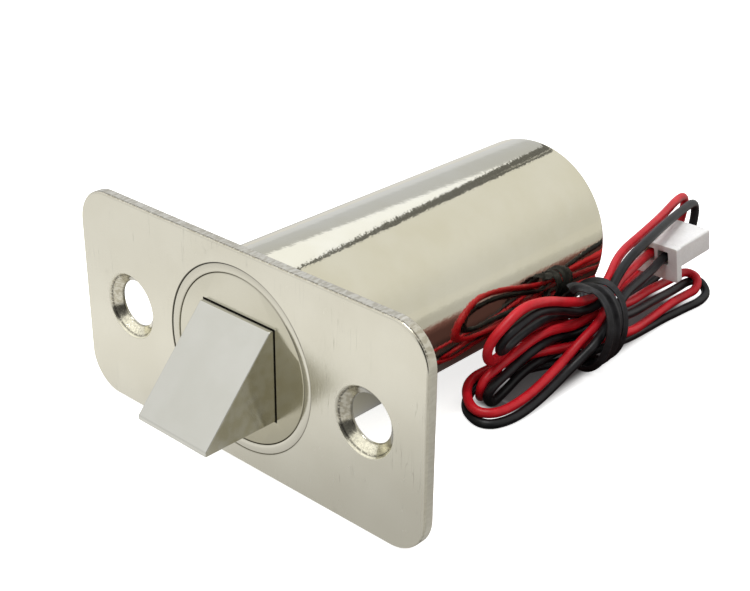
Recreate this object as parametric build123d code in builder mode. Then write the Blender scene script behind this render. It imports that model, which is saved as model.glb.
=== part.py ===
from build123d import *
import os
from math import pi, radians, sqrt, tan

os.makedirs("parts", exist_ok=True)

# Frame: Y runs along the barrel, away from the face plate. Z is up and X is to the right.
# The origin is on the barrel's axis, at the back face of the plate.

# Latch bolt: a square bar with a slanted nose, thrown out of the plate by the spring
bolt_size = 12.0
bolt_throw = 10.64
bolt_travel = 10.5
bolt_bevel_start = 0.46
bolt_nose_height = 0.6
bolt_edge_round = 0.35
bolt_clearance = 0.18
shoulder_thickness = 2.0
shoulder_clearance = 0.4
stop_gap = 0.05

# Barrel: a drawn tube, turned down at the front and rolled in at the rear
fit_gap = 0.02
chamber_clearance = 0.8
spacer_wall = 1.515
barrel_wall = 1.68
barrel_length = 55.4
spigot_step = 0.5
spigot_bevel = 0.3
rear_round = 0.8
rear_lip = 0.5
rear_lip_length = 0.7

# Face plate and its two countersunk screw holes
plate_margin = 1.75
plate_thickness = 1.5
plate_corner_radius = 5.0
plate_front_round = 0.3
plate_back_round = 0.15
plate_seat_depth = 0.3
screw_offset = 7.7
screw_end_margin = 9.05
screw_hole_diameter = 6.05
screw_sink_diameter = 8.66
screw_sink_angle = 96.0

# Guide block, set just under the plate's front face
guide_recess = 0.17
guide_length = 6.0
guide_edge_break = 0.2

# Plunger, its cross pin and the return spring
plunger_diameter = 8.8
plunger_chamfer = 0.6
neck_step = 0.9
neck_length = 6.0
neck_clearance = 0.05
pin_diameter = 2.5
pin_inset = 0.2
spring_wire = 0.8
spring_clearance = 0.5
spring_turns = 5.5
spring_room = 4.5

# Magnet: two pole washers, a wound bobbin, a brass sleeve and the fixed core
pole_thickness = 2.5
sleeve_clearance = 0.08
sleeve_wall = 0.4
bobbin_gap = 0.05
bobbin_wall = 0.7
bobbin_flange = 1.0
coil_gap = 1.0
tape_thickness = 0.2
core_length = 6.8
core_clearance = 0.04
core_vent = 2.0
bumper_thickness = 0.8
plunger_stop_gap = 0.1
lead_slot_width = 5.0
lead_slot_depth = 1.6

# Rear end: terminal disc, cap and grommet
disc_thickness = 0.8
disc_clearance = 0.2
joint_height = 0.8
joint_diameter = 1.5
splice_room = 3.7
cap_thickness = 1.5
grommet_neck = 6.0
grommet_flange = 1.2
grommet_outer_thickness = 1.3
grommet_inner_thickness = 1.0
grommet_round = 0.5

# Wires, their tie and the plug connector
wire_diameter = 1.3
wire_spacing = 1.6
tie_thickness = 1.0
tie_ridge = 0.3
tie_strap = 1.5
tie_turns = 3
pitch = 2.5
connector_margin = 2.25
connector_height = 3.4
connector_length = 8.2
flange_height = 5.4
flange_length = 1.1
flange_overhang = 0.3
connector_round = 0.3
cavity_width = 1.9
cavity_height = 2.1
cavity_drop = 1.9
cavity_floor = 0.9
contact_window = 1.1
terminal_width = 1.3
terminal_height = 1.5
terminal_bore = 0.7
terminal_set_back = 1.4
terminal_end_gap = 0.4

# Diameters that follow from the bolt outwards
bolt_diagonal = bolt_size * sqrt(2)
spacer_bore = bolt_diagonal + 2 * chamber_clearance
barrel_bore = spacer_bore + 2 * spacer_wall + 2 * fit_gap
barrel_diameter = barrel_bore + 2 * barrel_wall
spigot_diameter = barrel_diameter - 2 * spigot_step
insert_diameter = barrel_bore - 2 * fit_gap
shoulder_diameter = spacer_bore - 2 * shoulder_clearance
guide_hole = bolt_size + 2 * bolt_clearance
neck_diameter = plunger_diameter - 2 * neck_step
sleeve_bore = plunger_diameter + 2 * sleeve_clearance
sleeve_diameter = sleeve_bore + 2 * sleeve_wall
bobbin_bore = sleeve_diameter + 2 * bobbin_gap
hub_diameter = bobbin_bore + 2 * bobbin_wall
tape_diameter = barrel_bore - 2 * coil_gap
winding_diameter = tape_diameter - 2 * tape_thickness
bobbin_diameter = barrel_bore - 2 * disc_clearance
core_diameter = sleeve_bore - 2 * core_clearance
spring_mean_radius = plunger_diameter / 2 + spring_clearance + spring_wire / 2

# Places along the barrel, from the plate's front face to the grommet
front_face = -plate_thickness
guide_front = front_face + guide_recess
guide_back = guide_front + guide_length
shoulder_front = guide_back + stop_gap
shoulder_back = shoulder_front + shoulder_thickness
pole_front = shoulder_back + bolt_travel + spring_room
pole_back = pole_front + pole_thickness
cap_back = barrel_length - rear_lip_length
cap_front = cap_back - cap_thickness
disc_back = cap_front - splice_room
disc_front = disc_back - disc_thickness
rear_pole_back = disc_front
rear_pole_front = rear_pole_back - pole_thickness
core_front = rear_pole_back - core_length
bumper_front = core_front - bumper_thickness
plunger_back = bumper_front - plunger_stop_gap - bolt_travel
neck_front = shoulder_back - neck_length
pin_place = (neck_front + shoulder_front) / 2
wire_exit = cap_back + grommet_outer_thickness

# Sizes of the plate
plate_height = barrel_diameter + 2 * plate_margin
screw_spacing = barrel_diameter + 2 * screw_offset
plate_width = screw_spacing + 2 * screw_end_margin


def section(y):
    """A plane across the barrel at y, facing the rear, with its second axis up."""
    return Plane(origin=(0, y, 0), x_dir=(-1, 0, 0), z_dir=(0, 1, 0))


def turned(start, end, outer, inner=0.0):
    """A disc or ring about the barrel's axis, in the part that is being built."""
    with BuildSketch(section(start)) as ring:
        Circle(outer / 2)
        if inner > 0:
            Circle(inner / 2, mode=Mode.SUBTRACT)
    extrude(ring.sketch, amount=end - start)


def save(piece, name):
    piece.part.label = name
    export_step(piece.part, f"parts/{name}.step")


# The face plate is pressed from steel sheet and carries the barrel in its middle hole
with BuildPart() as face_plate:
    with BuildSketch(section(front_face)):
        RectangleRounded(plate_width, plate_height, plate_corner_radius)
        Circle(spigot_diameter / 2 + fit_gap, mode=Mode.SUBTRACT)
    extrude(amount=plate_thickness)
    fillet(face_plate.faces().sort_by(Axis.Y)[0].outer_wire().edges(), plate_front_round)
    fillet(face_plate.faces().sort_by(Axis.Y)[-1].outer_wire().edges(), plate_back_round)
    with BuildSketch(section(-plate_seat_depth)):
        Circle(barrel_diameter / 2 + fit_gap)
    extrude(amount=plate_seat_depth, mode=Mode.SUBTRACT)
    with Locations(Plane(origin=(0, front_face, 0), x_dir=(1, 0, 0), z_dir=(0, -1, 0))):
        with GridLocations(screw_spacing, plate_height, 2, 1):
            CounterSinkHole(
                radius=screw_hole_diameter / 2,
                counter_sink_radius=screw_sink_diameter / 2,
                depth=plate_thickness,
                counter_sink_angle=screw_sink_angle,
            )
save(face_plate, "face_plate")

# The barrel's front end passes through the plate and is swaged flush with its face
with BuildPart() as barrel_tube:
    with BuildSketch(Plane.YZ):
        with BuildLine():
            Polyline(
                (front_face + spigot_bevel, barrel_bore / 2),
                (front_face, barrel_bore / 2 + spigot_bevel),
                (front_face, spigot_diameter / 2),
                (-plate_seat_depth, spigot_diameter / 2),
                (-plate_seat_depth, barrel_diameter / 2),
                (barrel_length - rear_round, barrel_diameter / 2),
            )
            RadiusArc(
                (barrel_length - rear_round, barrel_diameter / 2),
                (barrel_length, barrel_diameter / 2 - rear_round),
                rear_round,
            )
            Polyline(
                (barrel_length, barrel_diameter / 2 - rear_round),
                (barrel_length, barrel_bore / 2 - rear_lip),
                (cap_back, barrel_bore / 2 - rear_lip),
                (cap_back, barrel_bore / 2),
                (front_face + spigot_bevel, barrel_bore / 2),
            )
        make_face()
    revolve(axis=Axis.Y)
save(barrel_tube, "barrel_tube")

# The guide block closes the barrel's front and holds the bolt square
with BuildPart() as guide_block:
    turned(guide_front, guide_back, insert_diameter)
    chamfer(guide_block.faces().sort_by(Axis.Y)[0].edges(), guide_edge_break)
    with BuildSketch(section(guide_front)):
        Rectangle(guide_hole, guide_hole)
    extrude(amount=guide_length, mode=Mode.SUBTRACT)
save(guide_block, "guide_block")

# The spacer keeps the front pole off the guide block and leaves room for the bolt's shoulder
with BuildPart() as spacer_sleeve:
    turned(guide_back, pole_front, insert_diameter, spacer_bore)
save(spacer_sleeve, "spacer_sleeve")

# The bolt is one bar: slanted nose, square body and a round shoulder that stops it
with BuildPart() as latch_bolt:
    half = bolt_size / 2
    with BuildSketch(Plane.YZ):
        with BuildLine():
            Polyline(
                (shoulder_front, half),
                (front_face - bolt_bevel_start, half),
                (front_face - bolt_throw, bolt_nose_height - half),
                (front_face - bolt_throw, -half),
                (shoulder_front, -half),
                close=True,
            )
        make_face()
    extrude(amount=half, both=True)
    fillet(latch_bolt.edges().filter_by(Axis.Y), bolt_edge_round)
    turned(shoulder_front, shoulder_back, shoulder_diameter)
    with BuildSketch(section(neck_front - neck_clearance)):
        Circle(neck_diameter / 2 + neck_clearance)
    extrude(amount=neck_length + neck_clearance, mode=Mode.SUBTRACT)
    with BuildSketch(Plane.YZ):
        with Locations((pin_place, 0)):
            Circle(pin_diameter / 2 + fit_gap)
    extrude(amount=bolt_size, both=True, mode=Mode.SUBTRACT)
save(latch_bolt, "latch_bolt")

# The plunger's neck sits in the bolt, and the magnet pulls its rear end
with BuildPart() as plunger:
    turned(neck_front, shoulder_back, neck_diameter)
    turned(shoulder_back, plunger_back, plunger_diameter)
    chamfer(plunger.faces().sort_by(Axis.Y)[-1].edges(), plunger_chamfer)
    with BuildSketch(Plane.YZ):
        with Locations((pin_place, 0)):
            Circle(pin_diameter / 2 + fit_gap)
    extrude(amount=plunger_diameter, both=True, mode=Mode.SUBTRACT)
save(plunger, "plunger")

# A cross pin ties the plunger to the bolt
with BuildPart() as bolt_pin:
    with BuildSketch(Plane.YZ):
        with Locations((pin_place, 0)):
            Circle(pin_diameter / 2)
    extrude(amount=bolt_size / 2 - pin_inset, both=True)
save(bolt_pin, "bolt_pin")

# The spring's wire is ground flat where it bears on the shoulder and on the pole
with BuildPart() as return_spring:
    spring_length = pole_front - shoulder_back
    with BuildLine() as coil:
        Helix(
            pitch=spring_length / spring_turns,
            height=spring_length,
            radius=spring_mean_radius,
            center=(0, shoulder_back, 0),
            direction=(0, 1, 0),
        )
    with BuildSketch(Plane(origin=coil.line @ 0, z_dir=coil.line % 0)):
        Circle(spring_wire / 2)
    sweep(is_frenet=True)
    split(bisect_by=section(shoulder_back), keep=Keep.TOP)
    split(bisect_by=section(pole_front), keep=Keep.BOTTOM)
save(return_spring, "return_spring")

with BuildPart() as front_pole:
    turned(pole_front, pole_back, insert_diameter, sleeve_diameter + 2 * fit_gap)
save(front_pole, "front_pole")

with BuildPart() as rear_pole:
    turned(rear_pole_front, rear_pole_back, insert_diameter, sleeve_diameter + 2 * fit_gap)
    with BuildSketch(section(rear_pole_front)):
        with Locations((0, -insert_diameter / 2)):
            Rectangle(lead_slot_width, 2 * lead_slot_depth)
    extrude(amount=pole_thickness, mode=Mode.SUBTRACT)
save(rear_pole, "rear_pole")

# The brass sleeve lines both poles and the bobbin, so that the plunger runs true
with BuildPart() as plunger_sleeve:
    turned(pole_front, rear_pole_back, sleeve_diameter, sleeve_bore)
save(plunger_sleeve, "plunger_sleeve")

with BuildPart() as bobbin:
    turned(pole_back, rear_pole_front, hub_diameter, bobbin_bore)
    turned(pole_back, pole_back + bobbin_flange, bobbin_diameter, bobbin_bore)
    turned(rear_pole_front - bobbin_flange, rear_pole_front, bobbin_diameter, bobbin_bore)
    with BuildSketch(section(rear_pole_front - bobbin_flange)):
        with Locations((0, -bobbin_diameter / 2)):
            Rectangle(lead_slot_width, 2 * lead_slot_depth)
    extrude(amount=bobbin_flange, mode=Mode.SUBTRACT)
save(bobbin, "bobbin")

winding_front = pole_back + bobbin_flange
winding_back = rear_pole_front - bobbin_flange
with BuildPart() as winding:
    turned(winding_front, winding_back, winding_diameter, hub_diameter)
save(winding, "winding")

with BuildPart() as winding_tape:
    turned(winding_front, winding_back, tape_diameter, winding_diameter)
save(winding_tape, "winding_tape")

# The fixed core fills the sleeve's rear end, and a soft washer takes the plunger's blow
with BuildPart() as fixed_core:
    turned(core_front, rear_pole_back, core_diameter, core_vent)
save(fixed_core, "fixed_core")

with BuildPart() as bumper_washer:
    turned(bumper_front, core_front, core_diameter, core_vent)
save(bumper_washer, "bumper_washer")

# The leads are soldered to the coil's ends on the terminal disc
lead_places = GridLocations(wire_spacing, barrel_bore, 2, 1)
with BuildPart() as terminal_disc:
    turned(disc_front, disc_back, bobbin_diameter)
    with BuildSketch(section(disc_front)):
        with Locations((0, -bobbin_diameter / 2)):
            Rectangle(lead_slot_width, 2 * lead_slot_depth)
    extrude(amount=disc_thickness, mode=Mode.SUBTRACT)
save(terminal_disc, "terminal_disc")

with BuildPart() as solder_joints:
    with BuildSketch(section(disc_back)):
        with lead_places:
            Circle(joint_diameter / 2)
    extrude(amount=joint_height)
save(solder_joints, "solder_joints")

with BuildPart() as inner_leads:
    with BuildSketch(section(disc_back + joint_height)):
        with lead_places:
            Circle(wire_diameter / 2)
    extrude(amount=splice_room - joint_height - grommet_inner_thickness)
save(inner_leads, "inner_leads")

# The cap is held by the barrel's rolled lip, and the grommet is sprung into its hole
with BuildPart() as rear_cap:
    turned(cap_front, cap_back, insert_diameter, grommet_neck + 2 * fit_gap)
save(rear_cap, "rear_cap")

with BuildPart() as wire_grommet:
    turned(cap_front, cap_back, grommet_neck)
    turned(cap_front - grommet_inner_thickness, cap_front, grommet_neck + 2 * grommet_flange)
    turned(cap_back, wire_exit, grommet_neck + 2 * grommet_flange)
    fillet(wire_grommet.faces().sort_by(Axis.Y)[-1].edges(), grommet_round)
save(wire_grommet, "wire_grommet")

# The flat tie is wound round the neck of the hank, and one of its ends lies along the barrel
neck_centre = Vector(16.2, 49.6, -7.6)
neck_half_width = 3.6
neck_half_height = 4.9
neck_span = 9.6
tie_lean = 0.36
tie_tail = (0.8, 6.0, 1.8)
tie_tail_centre = (13.6, 46.0, -1.9)
tie_width = tie_turns * tie_strap + (tie_turns - 1) * tie_ridge
tie_front = neck_centre.Y - tie_width / 2


def leaning(start, width):
    """The outline, seen from the side, of a band that leans with the tie."""
    reach = neck_half_height + 2 * tie_thickness
    low = neck_centre.Z - reach
    high = neck_centre.Z + reach
    near = start - tie_lean * reach
    far = start + tie_lean * reach
    return Polygon((near, low), (near + width, low), (far + width, high), (far, high), align=None)


with BuildPart() as tie_grooves:
    with BuildSketch(Plane.YZ):
        for turn in range(1, tie_turns):
            leaning(tie_front + turn * (tie_strap + tie_ridge) - tie_ridge, tie_ridge)
    extrude(amount=2 * neck_centre.X)
    with BuildSketch(section(neck_centre.Y - neck_span)):
        with Locations((-neck_centre.X, neck_centre.Z)):
            Ellipse(
                neck_half_width + tie_thickness - tie_ridge,
                neck_half_height + tie_thickness - tie_ridge,
            )
    extrude(amount=2 * neck_span, mode=Mode.SUBTRACT)

with BuildPart() as wire_tie:
    with BuildSketch(section(neck_centre.Y - neck_span)):
        with Locations((-neck_centre.X, neck_centre.Z)):
            Ellipse(neck_half_width + tie_thickness, neck_half_height + tie_thickness)
            Ellipse(neck_half_width, neck_half_height, mode=Mode.SUBTRACT)
    extrude(amount=2 * neck_span)
    with BuildSketch(Plane.YZ):
        leaning(tie_front, tie_width)
    extrude(amount=2 * neck_centre.X, mode=Mode.INTERSECT)
    add(tie_grooves.part, mode=Mode.SUBTRACT)
    with Locations(tie_tail_centre):
        Box(*tie_tail)
save(wire_tie, "wire_tie")

# The two wires are folded into a hank beside the barrel. Each fold has its root in the neck,
# the middle of its far end, that end's half width, the root's half width, its thickness,
# the width of its strands and the way that its flat side faces.
folds = [
    ((15.4, 49.0, -6.2), (13.4, 34.3, -6.4), 4.3, 2.6, 1.6, 1.9, (1, 0, 0)),
    ((15.0, 49.0, -8.6), (12.7, 32.9, -10.9), 3.2, 2.3, 2.6, 1.9, (1, 0, 0)),
    ((16.6, 49.0, -9.4), (14.5, 28.8, -12.75), 4.3, 2.0, 2.7, 1.7, (0, 0, 1)),
    ((14.6, 57.5, -5.8), (9.4, 80.2, -5.8), 5.2, 4.6, 2.4, 1.6, (1, 0, 0)),
    ((16.9, 55.6, -10.3), (15.9, 76.6, -11.5), 2.3, 2.3, 2.7, 1.4, (0.75, 0, 0.66)),
]

with BuildPart() as wire_hank:
    with BuildSketch(section(neck_centre.Y - neck_span / 2)):
        with Locations((-neck_centre.X, neck_centre.Z)):
            Ellipse(neck_half_width, neck_half_height)
    extrude(amount=neck_span)
    for root, tip, tip_radius, root_radius, thickness, strand, facing in folds:
        along = Vector(*tip) - Vector(*root)
        across = Vector(*facing)
        flat = across - along.normalized() * across.dot(along.normalized())
        with BuildSketch(Plane(origin=root, x_dir=along, z_dir=flat)):
            Circle(root_radius)
            with Locations((along.length, 0)):
                Circle(tip_radius)
            make_hull()
            offset(amount=-strand, mode=Mode.SUBTRACT)
        extrude(amount=thickness / 2, both=True)
    add(wire_tie.part, mode=Mode.SUBTRACT)
save(wire_hank, "wire_hank")

# The connector lies in the hank's upper fold, its wire side towards the tie.
# Its plane has its origin at the top middle of the wire side and faces the mating end.
connector_plane = Plane(
    origin=(13.14, 67.71, -3.27), x_dir=(-0.993, 0.103, -0.066), z_dir=(0.095, 0.989, 0.117)
)
connector_width = pitch + 2 * connector_margin
cavities = Locations((-pitch / 2, -cavity_drop), (pitch / 2, -cavity_drop))


def in_cavity(side, distance):
    """A point on the middle line of the left (1) or right (-1) cavity."""
    point = connector_plane.from_local_coords((side * pitch / 2, -cavity_drop, distance))
    return (point.X, point.Y, point.Z)


# Routes of the wires, from the grommet to the hank and from the hank to the connector
red_route = [
    (-0.8, 56.0, 0.0), (-0.8, 60.5, 0.0), (-0.7, 65.0, -2.0), (-0.2, 67.6, -6.4),
    (2.0, 67.2, -10.6), (6.0, 64.0, -12.4), (9.6, 60.2, -12.4), (12.6, 56.6, -11.2),
    (15.4, 53.2, -9.6),
]
black_route = [
    (0.8, 56.0, 0.0), (0.8, 60.0, 0.0), (0.9, 63.4, -2.6), (1.0, 65.0, -6.6),
    (2.2, 64.6, -10.0), (5.4, 61.6, -12.0), (8.6, 57.6, -12.2), (11.8, 54.0, -11.6),
    (15.0, 51.0, -10.4),
]
red_end_route = [
    (16.6, 50.5, -5.6), (15.3, 54.7, -4.8), (14.0, 59.7, -4.9), in_cavity(1, -3.2),
    in_cavity(1, terminal_set_back),
]
black_end_route = [
    (18.0, 50.5, -6.6), (17.2, 54.7, -6.0), (16.0, 59.7, -6.0), in_cavity(-1, -3.2),
    in_cavity(-1, terminal_set_back),
]


def corner_radii(route):
    """The largest arc that the two runs at each corner have room for."""
    radii = []
    for before, corner, after in zip(route, route[1:], route[2:]):
        arriving = Vector(*corner) - Vector(*before)
        leaving = Vector(*after) - Vector(*corner)
        half_turn = radians(arriving.get_angle(leaving)) / 2
        run = min(arriving.length, leaving.length)
        radii.append(0.45 * run / tan(half_turn))
    return radii


def wire(name, route):
    """A wire's solid along its route, as far as the hank's surface."""
    radii = corner_radii(route)
    with BuildPart() as stretch:
        with BuildLine() as path:
            FilletPolyline(*route, radius=radii)
        with BuildSketch(Plane(origin=path.line @ 0, z_dir=path.line % 0)):
            Circle(wire_diameter / 2)
        sweep()
        length = path.wire().length
        swept = stretch.part.volume / (pi * wire_diameter**2 / 4 * length)
        print(name, "length", round(length, 2), "volume over section times length", round(swept, 4))
        print("  radii", [round(radius, 1) for radius in radii])
        add(wire_hank.part, mode=Mode.SUBTRACT)
    return stretch


red_lead = wire("red_lead", red_route)
save(red_lead, "red_lead")
black_lead = wire("black_lead", black_route)
save(black_lead, "black_lead")
red_lead_end = wire("red_lead_end", red_end_route)
save(red_lead_end, "red_lead_end")
black_lead_end = wire("black_lead_end", black_end_route)
save(black_lead_end, "black_lead_end")

# The connector's housing, with one cavity for each crimped wire end
def along_connector(distance):
    return connector_plane.offset(distance)


with BuildPart() as connector_housing:
    with BuildSketch(along_connector(0)):
        with Locations((0, -connector_height / 2)):
            Rectangle(connector_width, connector_height)
    extrude(amount=connector_length)
    lengthwise = Axis((0, 0, 0), connector_plane.z_dir)
    fillet(connector_housing.edges().filter_by(lengthwise), connector_round)
    with BuildSketch(along_connector(0)):
        with Locations((0, -flange_height / 2)):
            Rectangle(connector_width + 2 * flange_overhang, flange_height)
    extrude(amount=flange_length)
    with BuildSketch(along_connector(0)):
        with cavities:
            Rectangle(cavity_width, cavity_height)
    extrude(amount=connector_length - cavity_floor, mode=Mode.SUBTRACT)
    with BuildSketch(along_connector(connector_length - cavity_floor)):
        with cavities:
            Rectangle(contact_window, contact_window)
    extrude(amount=cavity_floor, mode=Mode.SUBTRACT)
save(connector_housing, "connector_housing")

with BuildPart() as crimp_terminals:
    with BuildSketch(along_connector(terminal_set_back)):
        with cavities:
            Rectangle(terminal_width, terminal_height)
            Rectangle(terminal_bore, terminal_bore, mode=Mode.SUBTRACT)
    extrude(amount=connector_length - cavity_floor - terminal_end_gap - terminal_set_back)
save(crimp_terminals, "crimp_terminals")
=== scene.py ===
from math import cos, pi, radians, sin

import bmesh
import bpy
from mathutils import Matrix, Vector


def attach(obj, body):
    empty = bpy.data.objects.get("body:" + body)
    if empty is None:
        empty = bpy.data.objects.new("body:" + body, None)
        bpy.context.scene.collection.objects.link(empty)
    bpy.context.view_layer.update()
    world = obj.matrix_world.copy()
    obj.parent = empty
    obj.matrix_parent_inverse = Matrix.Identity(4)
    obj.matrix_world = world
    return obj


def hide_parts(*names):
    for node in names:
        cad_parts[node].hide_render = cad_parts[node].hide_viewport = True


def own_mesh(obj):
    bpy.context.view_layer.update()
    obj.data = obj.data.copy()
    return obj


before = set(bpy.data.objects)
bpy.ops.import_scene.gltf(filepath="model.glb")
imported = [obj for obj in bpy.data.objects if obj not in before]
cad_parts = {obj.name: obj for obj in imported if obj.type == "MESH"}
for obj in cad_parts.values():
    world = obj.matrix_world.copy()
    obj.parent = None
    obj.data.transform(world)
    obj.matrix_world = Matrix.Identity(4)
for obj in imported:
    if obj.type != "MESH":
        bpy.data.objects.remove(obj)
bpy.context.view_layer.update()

# The camera stands in front of the face plate, to its right and above it. It was fitted to the
# plate's outline, its holes and both rims of the barrel.
scene = bpy.context.scene
camera = bpy.data.objects.new("camera", bpy.data.cameras.new("camera"))
scene.collection.objects.link(camera)
camera_right = Vector((0.732094, 0.681134, 0.009715))
camera_up = Vector((-0.308998, 0.319338, 0.895848))
camera_back = Vector((0.607090, -0.658847, 0.444254))
camera_place = Vector((0.110648, -0.098048, 0.081054))
camera.matrix_world = Matrix.Translation(camera_place) @ Matrix(
    (camera_right, camera_up, camera_back)).transposed().to_4x4()
camera.data.lens = 68.118
camera.data.sensor_width = 36.0
camera.data.clip_start = 0.005
scene.camera = camera
scene.view_settings.view_transform = "Standard"

# The barrel is a drawn mild steel tube that closes the magnet's circuit, plated with bright nickel.
# Its front end is turned down, pushed through the plate and swaged over in its face, and its rear
# end is rolled in over the cap.
barrel_radius = 12.5
barrel_bore = 10.82
spigot_radius = 12.0
barrel_end = 55.4
plate_seat = -0.3
cap_seat = 53.2
lip_inside = 54.7
lip_radius = 10.32
rear_round = 0.8
first_row = 5.0
row_spacing = 4.9
wall_rows = 11
swaged_face = [(barrel_bore, -1.20), (10.84, -1.28), (10.88, -1.34), (10.95, -1.40), (11.05, -1.44),
               (11.2, -1.475), (11.4, -1.495), (11.55, -1.495), (11.7, -1.485), (11.82, -1.465),
               (11.92, -1.43), (11.98, -1.37), (spigot_radius, -1.28)]
weld_distance = 0.0001


class Amount:
    """A number that changes over a surface, added and multiplied like any other number."""

    def __init__(self, look, socket):
        self.look = look
        self.socket = socket

    def maths(self, operation, *others):
        made = self.look.node("ShaderNodeMath", {"operation": operation},
                              dict(enumerate((self,) + others)))
        return Amount(self.look, made.outputs[0])

    def __add__(self, other):
        return self.maths("ADD", other)

    def __sub__(self, other):
        return self.maths("SUBTRACT", other)

    def __mul__(self, other):
        return self.maths("MULTIPLY", other)

    def __truediv__(self, other):
        return self.maths("DIVIDE", other)

    def __rsub__(self, other):
        return self * -1.0 + other

    __radd__ = __add__
    __rmul__ = __mul__

    def size(self):
        return self.maths("ABSOLUTE")

    def root(self):
        return self.maths("SQRT")

    def most(self, other):
        return self.maths("MAXIMUM", other)

    def rise(self, low, high):
        """0 up to low, 1 from high on, and a smooth step between them."""
        made = self.look.node("ShaderNodeMapRange", {"interpolation_type": "SMOOTHSTEP"},
                              {"Value": self, "From Min": low, "From Max": high})
        return Amount(self.look, made.outputs["Result"])

    def band(self, middle, half, soft):
        """1 within half of the middle, and 0 from soft beyond that."""
        return 1.0 - (self - middle).size().rise(half, half + soft)


class Look:
    """A finish, as a node tree. Its pattern is measured in millimetres on the piece."""

    def __init__(self, owner):
        self.owner = owner
        owner.use_nodes = True
        self.tree = owner.node_tree

    def node(self, kind, settings=None, inputs=None):
        made = self.tree.nodes.new(kind)
        for name, setting in (settings or {}).items():
            setattr(made, name, setting)
        for place, value in (inputs or {}).items():
            value = getattr(value, "socket", value)
            if isinstance(value, bpy.types.NodeSocket):
                self.tree.links.new(value, made.inputs[place])
            else:
                made.inputs[place].default_value = value
        return made

    def place(self, scale=(1, 1, 1), turn=(0, 0, 0)):
        """The point on the piece in millimetres, stretched and turned for a grained pattern."""
        spot = self.node("ShaderNodeTexCoord")
        sized = self.node("ShaderNodeVectorMath", {"operation": "SCALE"},
                          {0: spot.outputs["Object"], "Scale": 1000.0})
        if scale == (1, 1, 1) and turn == (0, 0, 0):
            return sized.outputs[0]
        return self.node("ShaderNodeMapping", None,
                         {"Vector": sized.outputs[0], "Scale": scale, "Rotation": turn}).outputs[0]

    def split(self, vector):
        made = self.node("ShaderNodeSeparateXYZ", None, {0: vector})
        return [Amount(self, made.outputs[k]) for k in range(3)]

    def noise(self, scale, vector=None, detail=3.0):
        made = self.node("ShaderNodeTexNoise", None,
                         {"Vector": vector or self.place(), "Scale": scale, "Detail": detail})
        return Amount(self, made.outputs["Fac"])

    def cells(self, scale):
        made = self.node("ShaderNodeTexVoronoi", None, {"Vector": self.place(), "Scale": scale})
        return Amount(self, made.outputs["Distance"])

    def blend(self, amount, first, second):
        """Mixes two colours, each a triple or the result of an earlier blend."""
        first, second = [(*c, 1.0) if isinstance(c, tuple) else c for c in (first, second)]
        mixed = self.node("ShaderNodeMix", {"data_type": "RGBA"}, {0: amount, 6: first, 7: second})
        return mixed.outputs[2]

    def finish(self, colour, roughness, metallic=0.0, relief=None, depth=0.0, **fixed):
        """Sets the surface: relief is a height pattern whose unit is depth in millimetres."""
        values = {"Base Color": colour, "Roughness": roughness, "Metallic": metallic, **fixed}
        if relief is not None:
            bump = self.node("ShaderNodeBump", None,
                             {"Strength": 1.0, "Distance": depth / 1000.0, "Height": relief})
            values["Normal"] = bump.outputs[0]
        shader = self.tree.nodes["Principled BSDF"]
        for name, value in values.items():
            value = getattr(value, "socket", value)
            if isinstance(value, bpy.types.NodeSocket):
                self.tree.links.new(value, shader.inputs[name])
            else:
                shader.inputs[name].default_value = value


def turned(bm, rows, centre=0.0, steps=128):
    """A wall turned on the lathe: rows of (radius, y), spun about the Y axis through x = centre."""
    line = [bm.verts.new((centre + radius, y, 0)) for radius, y in rows]
    edges = [bm.edges.new(pair) for pair in zip(line, line[1:])]
    bmesh.ops.spin(bm, geom=line + edges, cent=(centre, 0, 0), axis=(0, 1, 0), dvec=(0, 0, 0),
                   angle=2 * pi, steps=steps, use_merge=True, use_duplicate=False)


def arc(radius, y, size, start, end, steps):
    """Rows along a rounded edge of a turned wall, from one angle in degrees to the other."""
    angles = [radians(start + (end - start) * k / steps) for k in range(steps + 1)]
    return [(radius + size * cos(a), y + size * sin(a)) for a in angles]


def make_piece(name, bm, body, look, replaced=(), sharp=32, weighted=False):
    """Makes an object of a bmesh in millimetres, with its faces outwards, that rides on a body."""
    bmesh.ops.recalc_face_normals(bm, faces=bm.faces)
    if bm.calc_volume(signed=True) < 0:
        bmesh.ops.reverse_faces(bm, faces=bm.faces)
    bm.transform(Matrix.Scale(0.001, 4))
    mesh = bpy.data.meshes.new(name)
    bm.to_mesh(mesh)
    bm.free()
    mesh.shade_smooth()
    mesh.set_sharp_from_angle(angle=radians(sharp))
    mesh.materials.append(look.owner)
    made = bpy.data.objects.new(name, mesh)
    scene.collection.objects.link(made)
    if weighted:
        made.modifiers.new("even_shading", "WEIGHTED_NORMAL").keep_sharp = True
    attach(made, body)
    if replaced:
        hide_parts(*replaced)
    return made


bright_nickel = Look(bpy.data.materials.new("barrel_bright_nickel"))
x, y, z = bright_nickel.split(bright_nickel.place())
cloud = bright_nickel.noise(0.12)
draw_lines = bright_nickel.noise(3.2, bright_nickel.place((1.0, 0.25, 1.0)), 1.0)
grain = bright_nickel.noise(2.9, detail=0.6)
orange_peel = bright_nickel.noise(0.9, detail=0.0)
pits = 1.0 - bright_nickel.cells(0.16).rise(0.012, 0.032)
radius = (x * x + z * z).root()
in_face = 1.0 - y.rise(-1.2, -0.9)
# Painted shade: the outer seam and the swaged face are drawn darker towards the upper left, where the plate's
# step shades them. The seams themselves are real dark joints.
upper_left_shade = (z - x).rise(-4.0, 12.0)
outer_seam = radius.band(spigot_radius - 0.02, 0.02, 0.06) * (0.35 + upper_left_shade * 0.45)
inner_seam = radius.band(barrel_bore + 0.01, 0.01, 0.05) * 0.5
seams = outer_seam.most(inner_seam) * in_face
nickel = bright_nickel.blend(cloud.rise(0.3, 0.7), (0.670, 0.640, 0.500), (0.705, 0.680, 0.555))
nickel = bright_nickel.blend(in_face, nickel, (0.685, 0.664, 0.575))
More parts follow.
